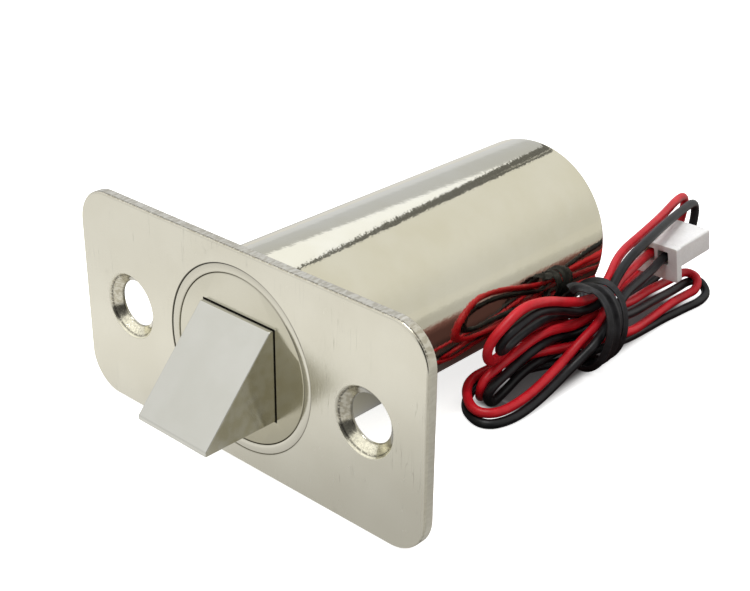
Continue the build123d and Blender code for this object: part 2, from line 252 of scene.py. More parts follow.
# Painted shade on the upper left of the swaged face.
nickel = bright_nickel.blend(in_face * upper_left_shade * 0.17, nickel, (0.30, 0.285, 0.22))
nickel = bright_nickel.blend((pits * 0.7).most(seams), nickel, (0.06, 0.052, 0.04))
bright_nickel.finish(nickel, 0.055 + cloud * 0.03 + in_face * 0.14, 1.0,
                     draw_lines * 0.30 + grain * 0.65 + orange_peel * 1.0 - pits * 3.0, 0.009)
bm = bmesh.new()
barrel_wall = [(barrel_bore, cap_seat)] + swaged_face
barrel_wall += [(spigot_radius, plate_seat), (barrel_radius - 0.04, plate_seat),
                (barrel_radius, plate_seat + 0.04), (barrel_radius, 0.4)]
barrel_wall += [(barrel_radius, first_row + row_spacing * k) for k in range(wall_rows)]
barrel_wall += arc(barrel_radius - rear_round, barrel_end - rear_round, rear_round, 0, 90, 9)
barrel_wall += [(lip_radius + 0.13, barrel_end), (lip_radius + 0.04, barrel_end - 0.03),
                (lip_radius, barrel_end - 0.1), (lip_radius, lip_inside), (barrel_bore, lip_inside),
                (barrel_bore, cap_seat)]
turned(bm, barrel_wall, steps=256)
bmesh.ops.remove_doubles(bm, verts=bm.verts, dist=weld_distance)
make_piece("barrel", bm, "housing", bright_nickel, ["barrel_tube"])

# The face plate is stamped from 1.5 mm steel sheet, tumbled until its edges are soft, and plated
# with satin nickel. Its two screw holes are countersunk, and the barrel is swaged into its centre.
plate_half_width = 29.25
plate_half_height = 14.25
plate_front = -1.5
plate_corner = 5.0
screw_distance = 20.2
front_round = 0.35
back_round = 0.15
seat_rim = 4.42
screw_hole_radius = 3.025
countersink = [(seat_rim, plate_front), (4.36, -1.48), (4.32, -1.44), (3.12, -0.38), (3.06, -0.31),
               (3.03, -0.24), (screw_hole_radius, -0.06), (3.06, -0.01), (3.10, 0.0)]
barrel_hole = [(12.12, plate_front), (12.07, -1.485), (12.035, -1.45), (12.02, -1.40),
               (12.02, plate_seat), (12.52, plate_seat), (12.52, -0.05), (12.57, 0.0)]


def lies_at(part, depth):
    """Whether an edge or a face lies flat at this depth along Y."""
    return all(abs(v.co.y - depth) < weld_distance for v in part.verts)


def block(bm, xs, zs, ys, corner, near_round=0.0, far_round=0.0, corner_steps=4, rim_steps=4):
    """A straight block along Y with round corners and rims, left open at both flat ends."""
    older = set(bm.faces)
    places = ((xs[0], zs[0]), (xs[1], zs[0]), (xs[1], zs[1]), (xs[0], zs[1]))
    corners = [bm.verts.new((x, ys[0], z)) for x, z in places]
    bm.faces.new(corners)
    bmesh.ops.bevel(bm, geom=corners, offset=corner, offset_type="OFFSET", segments=corner_steps,
                    profile=0.5, affect="VERTICES", material=-1)
    near = [face for face in bm.faces if face not in older]
    drawn = bmesh.ops.extrude_face_region(bm, geom=near)["geom"]
    bmesh.ops.translate(bm, verts=[part for part in drawn if isinstance(part, bmesh.types.BMVert)],
                        vec=(0, ys[1] - ys[0], 0))
    for depth, rounding in ((ys[0], near_round), (ys[1], far_round)):
        ends = [face for face in bm.faces if face not in older and lies_at(face, depth)]
        if rounding:
            rim = list({edge for face in ends for edge in face.edges})
            bmesh.ops.bevel(bm, geom=rim, offset=rounding, offset_type="OFFSET", segments=rim_steps,
                            profile=0.5, affect="EDGES", material=-1)
            ends = [face for face in bm.faces if face not in older and lies_at(face, depth)]
        bmesh.ops.delete(bm, geom=ends, context="FACES_ONLY")


def close_flat(bm, depth):
    """Fills the flat face that the open rims at this depth bound."""
    rims = [edge for edge in bm.edges if edge.is_boundary and lies_at(edge, depth)]
    bmesh.ops.triangle_fill(bm, use_beauty=True, use_dissolve=False, edges=rims, normal=(0, -1, 0))


satin_nickel = Look(bpy.data.materials.new("plate_satin_nickel"))
x, y, z = satin_nickel.split(satin_nickel.place())
cloud = satin_nickel.noise(0.09)
brushed = satin_nickel.noise(5.0, satin_nickel.place((1.0, 1.0, 0.22), (0, 0.5, 0)))
mottle = satin_nickel.noise(4.0)
from_left = (x + screw_distance) * (x + screw_distance) + z * z
from_right = (x - screw_distance) * (x - screw_distance) + z * z
from_hole = from_left.maths("MINIMUM", from_right).root()
seat = 1.0 - from_hole.rise(seat_rim - 0.12, seat_rim - 0.02)
# Painted shade on the narrow land deep in each screw hole.
land_shade = 1.0 - from_hole.rise(screw_hole_radius + 0.015, screw_hole_radius + 0.175)
round_hole = satin_nickel.node("ShaderNodeCombineXYZ", None,
                               {0: from_hole * 2.6, 1: x * 0.12, 2: z * 0.12})
tool_rings = satin_nickel.noise(2.2, round_hole.outputs[0]) * (1.0 - from_hole.rise(3.8, 4.25))
upper_left_shade = (z - x).rise(-4.0, 12.0)
# The groove round the barrel is a real dark line, made darker towards the upper left as painted shade of the
# step.
round_ring = (x * x + z * z).root().band(spigot_radius + 0.06, 0.02, 0.07)
groove = round_ring * (1.0 - y.rise(-0.9, -0.6)) * (0.30 + upper_left_shade * 0.55)
scratch_field = satin_nickel.noise(0.9, satin_nickel.place((1.0, 1.0, 0.06), (0, 0.9, 0)), 4.0)
scratches = scratch_field.band(0.5, 0.0012, 0.0035) * satin_nickel.noise(0.22).rise(0.50, 0.62)
dents = 1.0 - satin_nickel.cells(0.13).rise(0.010, 0.028)
edge_band = y.rise(plate_front + 0.06, plate_front + 0.12) * (1.0 - y.rise(-0.16, -0.08))
burr = y.band(plate_front + 0.28, 0.02, 0.12) * mottle.rise(0.38, 0.50)
nickel = satin_nickel.blend(cloud.rise(0.35, 0.65), (0.690, 0.668, 0.572), (0.725, 0.706, 0.612))
shear_marks = satin_nickel.noise(2.6, satin_nickel.place((1.0, 0.35, 1.0)), 3.0)
# The torn edge and burr are real, but on the upright edges their darkening is mostly left out, so those edges
# are painted lighter as the light falls on them.
upright_edge_light = edge_band * x.size().rise(plate_half_width - 0.65, plate_half_width - 0.05)
torn_edge = (0.25 + shear_marks.rise(0.40, 0.60) * 0.45) * edge_band * (1.0 - upright_edge_light * 0.7)
nickel = satin_nickel.blend(torn_edge, nickel, (0.36, 0.325, 0.235))
# Painted highlight: the lower part of each countersink seat is painted bright cream, mottled.
seat_painted_highlight = seat * (1.0 - z.rise(-2.6, -1.2)) * (0.5 + mottle.rise(0.40, 0.56) * 0.5)
nickel = satin_nickel.blend(seat_painted_highlight, nickel, (0.90, 0.87, 0.70))
crack = y.band(plate_front + 0.10, 0.015, 0.05) * x.rise(27.3, 27.9) * z.rise(9.3, 10.2)
dark_marks = (burr * 0.75 * (1.0 - upright_edge_light)).most(groove).most(land_shade * 0.5)
dark_marks = dark_marks.most(scratches * 0.16).most(dents * 0.35).most(crack * 0.95)
nickel = satin_nickel.blend(dark_marks, nickel, (0.045, 0.040, 0.030))
soft_rim = x.size().rise(plate_half_width - 0.35, plate_half_width - 0.23) * (1.0 - z.rise(9.0, 10.0))
soft_rim = soft_rim * (1.0 - y.rise(plate_front + 0.30, plate_front + 0.40))
lip = from_hole.band(seat_rim - 0.05, 0.05, 0.03)
dullness = 0.20 + brushed * 0.10 - seat * 0.13 + edge_band * 0.05 + soft_rim * 0.35 + lip * 0.30
plate_relief = (brushed * 0.5 + mottle * (edge_band * 0.5 + seat * 0.3) + tool_rings * 0.45
                - scratches * 0.6 - dents * 2.0)
satin_nickel.finish(nickel, dullness, 1.0, plate_relief, 0.008)
bm = bmesh.new()
block(bm, (-plate_half_width, plate_half_width), (-plate_half_height, plate_half_height),
      (plate_front, 0.0), plate_corner, front_round, back_round, corner_steps=16, rim_steps=5)
for place in (-screw_distance, screw_distance):
    turned(bm, countersink, place, steps=96)
turned(bm, barrel_hole, steps=192)
close_flat(bm, plate_front)
close_flat(bm, 0.0)
make_piece("plate", bm, "housing", satin_nickel, ["face_plate"], weighted=True)

# The guide block is a turned steel disc pressed into the barrel's mouth, a little below the rim.
# The square hole broached through it keeps the bolt straight. It has the same satin nickel.
guide_front = -1.33
guide_back = 4.67
hole_half = 6.13
hole_edge = 0.07
guide_radius = 10.8


def step_on(bm, depth, new_depth, resize):
    """Extrudes the open rim at one depth to another, resized about the Y axis."""
    rim = [edge for edge in bm.edges if edge.is_boundary and lies_at(edge, depth)]
    drawn = bmesh.ops.extrude_edge_only(bm, edges=rim)["geom"]
    verts = [part for part in drawn if isinstance(part, bmesh.types.BMVert)]
    bmesh.ops.scale(bm, verts=verts, vec=(resize, 1, resize))
    bmesh.ops.translate(bm, verts=verts, vec=(0, new_depth - depth, 0))


guide_nickel = Look(bpy.data.materials.new("guide_satin_nickel"))
x, y, z = guide_nickel.split(guide_nickel.place())
cloud = guide_nickel.noise(0.15)
brushed = guide_nickel.noise(5.0, guide_nickel.place((1.0, 1.0, 0.3)))
rim_gap = (x * x + z * z).root().rise(guide_radius - 0.14, guide_radius - 0.04)
# Painted shade on the walls of the square hole round the bolt.
hole_wall_shade = 1.0 - x.size().most(z.size()).rise(hole_half + 0.02, hole_half + 0.09)
# Painted shade: the disc is painted darker towards its lower right, where the bolt shades it, with a little
# random tone mixed in.
painted_shade = (x * 0.7 - z).rise(-11.0, 9.0)
painted_shade = painted_shade * 0.85 + cloud.rise(0.3, 0.7) * 0.15
nickel = guide_nickel.blend(painted_shade, (0.655, 0.635, 0.54), (0.475, 0.45, 0.34))
nickel = guide_nickel.blend((rim_gap * 0.45).most(hole_wall_shade * 0.8), nickel, (0.05, 0.042, 0.03))
guide_nickel.finish(nickel, 0.17 + brushed * 0.10, 1.0, brushed * 0.6, 0.007)
bm = bmesh.new()
block(bm, (-hole_half, hole_half), (-hole_half, hole_half),
      (guide_front + hole_edge, guide_back - hole_edge), 0.12)
step_on(bm, guide_front + hole_edge, guide_front + 0.02, 1.0 + 0.02 / hole_half)
step_on(bm, guide_front + 0.02, guide_front, 1.0 + 0.05 / hole_half)
step_on(bm, guide_back - hole_edge, guide_back, 1.0 + 0.1 / hole_half)
turned(bm, [(10.6, guide_front), (10.68, -1.30), (10.75, -1.25), (10.79, -1.18), (guide_radius, -1.1),
            (guide_radius, 4.57), (guide_radius - 0.1, guide_back)], steps=192)
close_flat(bm, guide_front)
close_flat(bm, guide_back)
make_piece("guide_disc", bm, "housing", guide_nickel, ["guide_block"], weighted=True)

# The latch bolt is a ground square steel bar, nickel plated. Its nose is cut at a slant, so that a
# closing door pushes it in, and a turned shoulder behind the guide stops it there.
bolt_half = 6.0
bolt_tip = -12.14
bolt_back = 4.72
bar_back = bolt_back - 0.02
broken_edge = 0.16
shoulder_radius = 8.885
shoulder_back = 6.72
slant_top = Vector((0, -1.96, bolt_half))
slant_low = Vector((0, bolt_tip, -5.4))
bolt_nickel = Look(bpy.data.materials.new("bolt_nickel"))
cloud = bolt_nickel.noise(0.20)
ground_lines = bolt_nickel.noise(5.0, bolt_nickel.place((0.25, 1.0, 1.0)))
x, y, z = bolt_nickel.split(bolt_nickel.place())
smears = bolt_nickel.noise(0.7, detail=4.0).rise(0.38, 0.62)
# Painted shade: the bar's sides are painted darker and browner, in smears.
side_shade = x.size().rise(bolt_half - 0.07, bolt_half - 0.01) * (0.55 + smears * 0.45)
nickel = bolt_nickel.blend(cloud.rise(0.3, 0.7), (0.585, 0.585, 0.540), (0.612, 0.612, 0.572))
nickel = bolt_nickel.blend(side_shade * 0.50, nickel, (0.36, 0.32, 0.16))
bolt_nickel.finish(nickel, 0.17 + ground_lines * 0.08, 1.0, ground_lines * 0.4, 0.006)


def cut_off(bm, place, outward):
    """Cuts away what lies outward of a plane, and gives back the parts along the cut."""
    every_part = bm.verts[:] + bm.edges[:] + bm.faces[:]
    return bmesh.ops.bisect_plane(bm, geom=every_part, dist=weld_distance, plane_co=place, plane_no=outward,
                                  clear_outer=True)["geom_cut"]


bm = bmesh.new()
bmesh.ops.create_cube(bm, size=2 * bolt_half)
bmesh.ops.scale(bm, verts=bm.verts, vec=(1, (bar_back - bolt_tip) / (2 * bolt_half), 1))
bmesh.ops.translate(bm, verts=bm.verts, vec=(0, (bar_back + bolt_tip) / 2, 0))
slant_run = slant_low - slant_top
cut = cut_off(bm, slant_top, (0, slant_run.z, -slant_run.y))
bmesh.ops.edgeloop_fill(bm, edges=[part for part in cut if isinstance(part, bmesh.types.BMEdge)])
bmesh.ops.recalc_face_normals(bm, faces=bm.faces)
worked_edges = [edge for edge in bm.edges if not lies_at(edge, bar_back)]
bmesh.ops.bevel(bm, geom=worked_edges, offset=broken_edge, offset_type="OFFSET", segments=3, profile=0.5,
                affect="EDGES", material=-1)
turned(bm, [(0.0, bolt_back), (8.6, bolt_back), (8.77, 4.8), (shoulder_radius, 4.95),
            (shoulder_radius, 6.5), (8.77, 6.65), (8.6, shoulder_back), (0.0, shoulder_back)])
bmesh.ops.remove_doubles(bm, verts=bm.verts, dist=weld_distance)
make_piece("bolt", bm, "bolt", bolt_nickel, ["latch_bolt"], weighted=True)

# Behind the guide lie the magnet's turned steel parts: the spacer sleeve, the plunger with its
# cross pin in the bolt, two pole washers and the fixed core.


def dress(look, *nodes):
    """Gives solids that stay as they are their finish."""
    for node in nodes:
        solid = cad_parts[node]
        solid = bpy.data.objects[solid] if isinstance(solid, str) else solid
        for place in solid.material_slots:
            place.material = look.owner


turned_steel = Look(bpy.data.materials.new("turned_steel"))
tool_lines = turned_steel.noise(6.0, turned_steel.place((0.3, 1.6, 0.3)))
turned_steel.finish(turned_steel.blend(tool_lines.rise(0.3, 0.7), (0.42, 0.42, 0.42), (0.56, 0.56, 0.56)),
                    0.28 + tool_lines * 0.2, 1.0, tool_lines, 0.01)
dress(turned_steel, "spacer_sleeve", "plunger", "bolt_pin", "front_pole", "rear_pole", "fixed_core")

# The return spring is wound of hard steel wire, and both its ends are ground flat. It pushes the
# bolt out by the back of its shoulder; here it is drawn at its rest length and does not shorten with the
# bolt.
spring_front = shoulder_back
spring_back = 21.72
spring_radius = 5.3
spring_wire_radius = 0.4
spring_turns = 5.5
spring_steps = 198
spring_wire = Look(bpy.data.materials.new("spring_wire"))
grain = spring_wire.noise(9.0)
spring_wire.finish(spring_wire.blend(grain.rise(0.3, 0.7), (0.40, 0.40, 0.41), (0.60, 0.60, 0.61)),
                   0.22 + grain * 0.15, 1.0, grain, 0.005)
bm = bmesh.new()
bmesh.ops.create_circle(bm, cap_ends=True, segments=12, radius=spring_wire_radius,
                        matrix=Matrix.Translation((spring_radius, spring_front, 0)))
bmesh.ops.spin(bm, geom=bm.verts[:] + bm.edges[:] + bm.faces[:], cent=(0, spring_front, 0),
               axis=(0, 1, 0), dvec=(0, (spring_back - spring_front) / spring_steps, 0),
               angle=2 * pi * spring_turns, steps=spring_steps, use_merge=False, use_duplicate=False)
for depth, outward in ((spring_front, -1), (spring_back, 1)):
    cut_off(bm, (0, depth, 0), (0, outward, 0))
    close_flat(bm, depth)
spring = make_piece("spring", bm, "housing", spring_wire, ["return_spring"])
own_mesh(spring)

# The coil is enamelled copper wire in even layers on a moulded bobbin, under amber tape. A brass
# tube lines the bobbin for the plunger, and a soft washer takes up the plunger's knock.
moulded = Look(bpy.data.materials.new("bobbin_plastic"))
grain = moulded.noise(5.0)
moulded.finish(moulded.blend(grain.rise(0.3, 0.7), (0.66, 0.63, 0.55), (0.74, 0.71, 0.63)),
               0.45 + grain * 0.15, 0.0, grain, 0.01)
dress(moulded, "bobbin")
copper = Look(bpy.data.materials.new("winding_copper"))
x, y, z = copper.split(copper.place())
wire_ripple = 28.0
layers = (y * wire_ripple).maths("SINE") * 0.5 + 0.5
copper.finish(copper.blend(layers, (0.42, 0.16, 0.06), (0.78, 0.36, 0.16)),
              0.30 + copper.noise(4.0) * 0.15, 1.0, layers, 0.04)
dress(copper, "winding")
amber_film = Look(bpy.data.materials.new("amber_tape"))
wrinkles = amber_film.noise(3.0, amber_film.place((1.0, 0.3, 1.0)))
amber_film.finish(amber_film.blend(wrinkles.rise(0.3, 0.7), (0.60, 0.36, 0.04), (0.74, 0.48, 0.08)),
                  0.22 + wrinkles * 0.15, 0.0, wrinkles, 0.02)
dress(amber_film, "winding_tape")
brass = Look(bpy.data.materials.new("sleeve_brass"))
draw_lines = brass.noise(6.0, brass.place((1.0, 0.2, 1.0)))
brass.finish(brass.blend(draw_lines.rise(0.3, 0.7), (0.70, 0.50, 0.20), (0.80, 0.62, 0.30)),
             0.22 + draw_lines * 0.2, 1.0, draw_lines, 0.005)
dress(brass, "plunger_sleeve")
soft_rubber = Look(bpy.data.materials.new("soft_rubber"))
grain = soft_rubber.noise(8.0)
soft_rubber.finish(soft_rubber.blend(grain.rise(0.3, 0.7), (0.012, 0.012, 0.013), (0.026, 0.026, 0.027)),
                   0.55 + grain * 0.2, 0.0, grain, 0.03)
dress(soft_rubber, "bumper_washer")

# The leads are soldered to the coil's ends on a hard paper disc, which lies behind the magnet.
# Each joint is a small bright cone of solder on the disc.
hard_paper = Look(bpy.data.materials.new("hard_paper"))
fibres = hard_paper.noise(3.0, detail=4.0)
hard_paper.finish(hard_paper.blend(fibres.rise(0.3, 0.7), (0.16, 0.07, 0.03), (0.26, 0.13, 0.06)),
                  0.5 + fibres * 0.15, 0.0, fibres, 0.02)
dress(hard_paper, "terminal_disc")
solder = Look(bpy.data.materials.new("solder"))
grain = solder.noise(7.0)
solder.finish(solder.blend(grain.rise(0.3, 0.7), (0.66, 0.65, 0.62), (0.76, 0.75, 0.72)),
              0.25 + grain * 0.2, 1.0, grain, 0.01)
dress(solder, "solder_joints")

# The rear cap is a pressed and plated steel disc, with a shallow ring pressed in for stiffness.
# The barrel's lip is rolled over its edge, and six punch marks in the ring keep it from turning.
cap_front = cap_seat
cap_back = lip_inside
cap_hole = 3.02
ring_floor = 54.46
ring_inner = 6.2
ring_outer = 8.5
mark_circle = 7.35
mark_reach = 1.4
mark_depth = 0.12
cap_nickel = Look(bpy.data.materials.new("cap_nickel"))
x, y, z = cap_nickel.split(cap_nickel.place())
grain = cap_nickel.noise(7.0)
cloud = cap_nickel.noise(0.25)
radius = (x * x + z * z).root()
# Painted shade: the cap is darker just inside the rolled lip and on the outer slope of its pressed ring.
painted_shade = radius.rise(9.9, 10.4).most(radius.band(8.9, 0.02, 0.25) * 0.5)
nickel = cap_nickel.blend(cloud.rise(0.3, 0.7), (0.62, 0.60, 0.51), (0.68, 0.66, 0.58))
nickel = cap_nickel.blend(painted_shade * 0.6, nickel, (0.09, 0.08, 0.065))
cap_nickel.finish(nickel, 0.22 + grain * 0.14, 1.0, grain, 0.012)
bm = bmesh.new()
turned(bm, [(cap_hole, 53.3), (cap_hole + 0.1, cap_front), (10.7, cap_front), (10.8, 53.3), (10.8, 54.6),
            (10.7, cap_back), (9.05, cap_back), (8.92, 54.67), (8.8, 54.58), (8.68, 54.50),
            (ring_outer, ring_floor), (ring_inner, ring_floor), (6.02, 54.50), (5.9, 54.58),
            (5.78, 54.67), (5.65, cap_back), (cap_hole + 0.1, cap_back), (cap_hole, 54.6),
            (cap_hole, 53.3)], steps=144)
bmesh.ops.remove_doubles(bm, verts=bm.verts, dist=weld_distance)
for mark in range(6):
    angle = radians(30 + 60 * mark)
    hit = Vector((mark_circle * cos(angle), ring_floor, mark_circle * sin(angle)))
    punched = [v for v in bm.verts if v.co.y > ring_floor - 0.01
               and ring_inner < v.co.xz.length < ring_outer + 0.1 and (v.co - hit).xz.length < mark_reach]
    bmesh.ops.translate(bm, verts=punched, vec=(0, -mark_depth, 0))
make_piece("cap", bm, "housing", cap_nickel, ["rear_cap"])

# The grommet is a soft black rubber ring sprung into the cap's hole, with a rounded flange outside
# and a groove round its neck. The two leads leave through its middle and keep off the steel edge.
grommet_front = 52.2
grommet_back = 56.0
neck_radius = 3.0
flange_radius = 4.2
flange_round = 0.5
grommet_wall = [(0.0, grommet_front), (3.6, grommet_front), (4.05, 52.35), (flange_radius, 52.7),
                (flange_radius, cap_front), (neck_radius, cap_front), (neck_radius, cap_back),
                (flange_radius, cap_back), (flange_radius, 55.35)]
grommet_wall += arc(flange_radius - flange_round, grommet_back - flange_round, flange_round, 15, 90, 5)
grommet_wall += [(2.6, grommet_back), (2.45, 55.93), (2.35, 55.8), (1.9, 55.72), (0.0, 55.70)]
bm = bmesh.new()
turned(bm, grommet_wall, steps=96)
bmesh.ops.remove_doubles(bm, verts=bm.verts, dist=weld_distance)
make_piece("grommet", bm, "housing", soft_rubber, ["wire_grommet"])

# Red and black hook-up wires, 1.3 mm over their soft insulation, run from the grommet round the
# barrel's end. They are folded into a hank of long loops beside the barrel and end in the plug.
wire_diameter = 1.3
red_route = [
    (-0.8, 56.0, 0.0), (-0.8, 60.5, 0.0), (-0.7, 64.9, -2.0), (-0.2, 67.5, -6.5), (2.3, 67.2, -10.9),
    (6.9, 64.1, -13.0), (11.0, 60.4, -13.4), (14.2, 56.9, -12.3), (15.7, 52.7, -10.6),
    (15.1, 47.8, -8.0), (13.0, 46.2, -8.4), (12.8, 41.6, -7.1), (12.2, 38.2, -7.1), (12.6, 34.3, -7.3),
    (13.3, 30.9, -7.7), (14.2, 28.0, -6.6), (14.8, 26.8, -4.4), (15.3, 27.3, -2.6), (15.8, 28.6, -1.3),
    (16.1, 30.2, -0.2), (16.3, 32.0, 0.4), (16.4, 34.5, 0.2), (16.2, 38.0, -0.8), (15.7, 42.3, -2.7),
    (15.7, 46.3, -4.1), (15.7, 49.7, -4.2), (15.1, 53.0, -3.2), (13.3, 57.8, -1.6), (12.6, 64.8, -0.9),
    (10.7, 73.3, -1.1), (8.9, 79.6, -1.2), (8.5, 82.7, -1.4), (8.4, 83.2, -3.9), (8.4, 80.9, -9.5),
    (8.9, 74.3, -9.5), (10.0, 68.0, -9.6), (11.4, 61.7, -9.1), (12.7, 55.4, -8.3), (13.4, 49.9, -8.1),
    (13.3, 45.2, -10.2), (11.9, 40.8, -11.8), (10.8, 36.8, -13.1), (11.0, 32.8, -13.7),
    (12.0, 29.4, -13.5), (12.6, 28.8, -11.6), (12.6, 29.5, -10.4), (13.0, 31.1, -9.5),
    (13.1, 33.1, -8.9), (13.3, 35.5, -8.3), (13.5, 38.0, -7.6), (13.9, 40.4, -7.2), (14.3, 43.1, -7.4),
    (15.0, 45.5, -7.8), (16.2, 49.8, -6.5), (16.4, 56.1, -7.8), (14.7, 63.8, -9.1), (14.2, 68.9, -9.8),
    (14.0, 72.9, -10.1), (14.2, 75.3, -9.9), (16.2, 75.8, -10.4), (17.2, 73.9, -11.5),
    (16.5, 72.0, -12.0), (16.3, 69.2, -12.1), (16.4, 66.1, -12.2), (17.0, 60.9, -12.0),
    (19.1, 53.7, -10.2), (17.6, 48.1, -9.8), (15.7, 43.5, -10.0), (13.1, 38.8, -10.0),
    (11.5, 34.5, -10.5), (10.7, 31.1, -10.8), (10.3, 29.8, -11.3), (10.9, 28.0, -11.6),
    (12.2, 26.5, -11.9), (13.8, 25.3, -12.1), (15.2, 25.1, -12.3), (16.6, 25.8, -12.3),
    (17.4, 27.5, -12.3), (17.5, 30.6, -12.3), (17.4, 34.1, -12.0), (17.2, 37.7, -11.2),
    (17.1, 41.3, -10.1), (17.4, 44.2, -8.4), (17.8, 47.6, -6.9), (15.5, 54.2, -4.3), (14.4, 59.7, -4.3),
    (12.9, 64.7, -4.9), (12.1, 67.6, -5.4), (12.2, 69.4, -5.1),
]
black_route = [
    (0.8, 56.0, 0.0), (0.8, 60.0, 0.0), (0.8, 63.4, -2.6), (0.9, 65.0, -6.6), (2.1, 64.6, -9.8),
    (5.3, 61.7, -11.4), (8.5, 57.9, -11.3), (11.9, 55.2, -10.4), (14.7, 52.1, -8.7), (14.7, 48.1, -6.8),
    (12.7, 46.5, -7.1), (13.3, 41.8, -5.6), (13.6, 37.8, -5.4), (14.0, 34.4, -5.5), (14.2, 31.7, -6.0),
    (15.0, 29.3, -5.4), (15.5, 28.6, -4.0), (16.0, 28.9, -2.8), (16.4, 30.0, -2.0), (16.4, 32.1, -1.5),
    (16.2, 34.6, -1.4), (15.9, 37.2, -2.0), (15.4, 41.8, -3.7), (15.2, 46.8, -6.1), (17.0, 50.0, -4.6),
    (16.4, 52.4, -2.9), (15.8, 56.6, -1.0), (15.0, 62.2, -0.5), (13.3, 69.8, -0.6), (11.5, 77.8, -1.2),
    (10.7, 82.1, -1.6), (10.9, 82.3, -4.2), (10.6, 81.2, -9.3), (10.9, 74.6, -10.6), (11.7, 68.4, -11.0),
    (12.8, 62.3, -10.8), (13.8, 56.3, -10.7), (14.1, 50.6, -10.6), (14.2, 45.5, -11.0),
    (13.9, 40.4, -11.2), (13.4, 36.6, -11.9), (13.3, 33.0, -13.4), (13.8, 29.6, -13.7),
    (13.7, 28.6, -12.1), (14.2, 29.4, -10.6), (13.9, 32.2, -10.3), (13.6, 35.0, -9.9),
    (13.9, 37.4, -9.0), (14.0, 40.7, -8.6), (14.0, 44.3, -9.1), (15.1, 46.4, -9.2), (17.9, 49.4, -7.2),
    (17.8, 55.2, -8.5), (16.1, 63.2, -10.0), (15.4, 68.3, -10.9), (15.1, 72.5, -11.2),
    (14.9, 74.8, -11.3), (15.3, 77.8, -11.7), (17.1, 77.6, -13.3), (17.6, 74.8, -13.6),
    (17.3, 71.3, -13.5), (17.1, 68.8, -13.5), (16.8, 65.7, -13.5), (16.8, 61.3, -13.4),
    (18.3, 53.8, -11.7), (17.5, 48.3, -11.3), (15.4, 44.4, -12.4), (12.9, 39.6, -12.6),
    (11.6, 34.5, -12.2), (10.8, 30.6, -12.3), (10.6, 29.2, -12.9), (11.5, 27.2, -13.3),
    (13.0, 25.6, -13.4), (15.3, 24.8, -13.6), (17.0, 25.4, -13.6), (17.9, 27.4, -13.6),
    (18.2, 29.9, -13.6), (18.2, 33.1, -13.3), (18.1, 36.7, -12.6), (18.1, 40.1, -11.5),
    (18.6, 42.4, -10.1), (19.4, 44.7, -8.3), (18.4, 50.0, -6.3), (17.1, 54.1, -5.2), (15.9, 60.2, -5.5),
    (15.0, 64.8, -5.6), (14.5, 67.4, -5.2), (14.7, 69.2, -4.9),
]


def insulated_wire(name, route, deep, light, gloss):
    """Lays a wire along its route in millimetres, in insulation of a deep and a light shade."""
    look = Look(bpy.data.materials.new(name + "_insulation"))
    cloud = look.noise(0.5)
    skin = look.noise(9.0, detail=2.0)
    look.finish(look.blend(cloud.rise(0.3, 0.7), deep, light), 0.30 + skin * 0.14, 0.0,
                skin * 0.5 + cloud * 0.8, 0.02, **{"Specular IOR Level": gloss})
    curve = bpy.data.curves.new(name, "CURVE")
    curve.dimensions = "3D"
    curve.resolution_u = 10
    curve.bevel_depth = wire_diameter / 2000
    curve.bevel_resolution = 5
    curve.use_fill_caps = True
    line = curve.splines.new("NURBS")
    line.points.add(len(route) - 1)
    for point, place in zip(line.points, route):
        point.co = (*(0.001 * v for v in place), 1.0)
    line.order_u = 3
    line.use_endpoint_u = True
    curve.materials.append(look.owner)
    made = bpy.data.objects.new(name, curve)
    scene.collection.objects.link(made)
    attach(made, "housing")
    return made, look


red_wire, red_skin = insulated_wire("red_wire", red_route, (0.48, 0.004, 0.012), (0.60, 0.010, 0.020),
                                    0.34)
black_wire, black_skin = insulated_wire("black_wire", black_route, (0.005, 0.005, 0.006),
                                        (0.012, 0.0125, 0.014), 0.27)
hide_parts("red_lead", "red_lead_end", "wire_hank")
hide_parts("black_lead", "black_lead_end")
dress(red_skin, "inner_leads")

# The twist tie is a flat black plastic strap with a steel wire in its raised middle. It is wound
# nearly three turns round the neck of the hank, and its free end lies over the wires to the barrel.
tie_turns = 2.72
tie_steps_a_turn = 56
tie_middle = Vector((16.7, 45.15, -7.4))
tie_pitch = 1.85
tie_half_height = 5.5
barrel_side_reach = 4.8
far_side_reach = 3.9
tail_tip = Vector((14.3, 44.9, -2.3))
tail_bend = Vector((15.0, 45.9, -1.3))
tail_outward = Vector((0.55, -0.35, 0.75))
tail_tip_turn = -0.20
tail_root_turn = 0.03
tie_start = tail_tip_turn + 0.003
strap_section = [(-0.80, 0.00), (-0.50, 0.10), (-0.34, 0.16), (-0.20, 0.42), (0.0, 0.52), (0.20, 0.42),
                 (0.34, 0.16), (0.50, 0.10), (0.80, 0.00), (0.78, -0.14), (0.0, -0.20), (-0.78, -0.14)]


def strap_place(t):
    """The strap's middle and its outward side after t turns. The free end comes before its root."""
    wound = max(t, tail_root_turn)
    angle = 2 * pi * wound
    slack = 0.16 * sin(5 * t) + 0.06 * sin(17 * t) + 0.22 * sin(pi * t) ** 2
    reach = (far_side_reach if sin(angle) > 0 else barrel_side_reach) + slack
    middle = tie_middle + Vector((reach * sin(angle), tie_pitch * wound + 0.75 * cos(angle),
                                  (tie_half_height + slack) * cos(angle)))
    outward = Vector((sin(angle) / reach, 0, cos(angle) / (tie_half_height + 0.35))).normalized()
    if t < tail_root_turn:
        u = (t - tail_tip_turn) / (tail_root_turn - tail_tip_turn)
        middle = (1 - u) ** 2 * tail_tip + 2 * u * (1 - u) * tail_bend + u * u * middle
        outward = ((1 - u) * tail_outward + u * outward).normalized()
    else:
        outward = (outward + Vector((0, 0.55 * sin(9 * t + 1.0), 0))).normalized()
    return middle, outward


def strap_frame(t):
    """Where the strap's cross-section stands after t turns, and how it is turned there."""
    middle, outward = strap_place(t)
    ahead = (strap_place(t + 0.004)[0] - strap_place(t - 0.004)[0]).normalized()
    across = ahead.cross(outward).normalized()
    turn = Matrix((across, across.cross(ahead), ahead)).transposed().to_4x4()
    return Matrix.Translation(middle) @ turn


